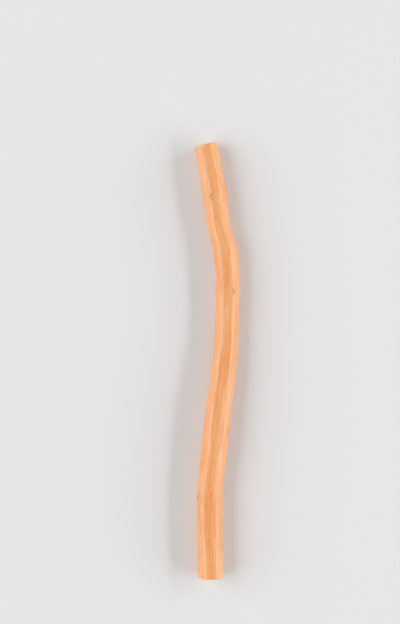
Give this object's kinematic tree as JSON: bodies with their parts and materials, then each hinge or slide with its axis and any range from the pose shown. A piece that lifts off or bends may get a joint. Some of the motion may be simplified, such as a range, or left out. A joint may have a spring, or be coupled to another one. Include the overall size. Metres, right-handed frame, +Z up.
{
  "type": "miswak stick",
  "caption": "Crooked sawn length of root used as a chewing stick for cleaning teeth, lying on its side, with bark on and both ends cut square.",
  "frame": {"origin": "middle of the stick's box, at the level of the surface that it lies on", "axes": "+Y along the stick from its thick end to its thin end, +X towards the side that it bows out to, +Z up from the surface"},
  "size_m": [0.0156, 0.1498, 0.0092],
  "materials": {
    "root_bark": "smooth thin orange-tan bark with a slight satin sheen, paler wood on the sawn ends"
  },
  "bodies": {
    "root": {"stick": "root_bark"}
  },
  "joints": []
}
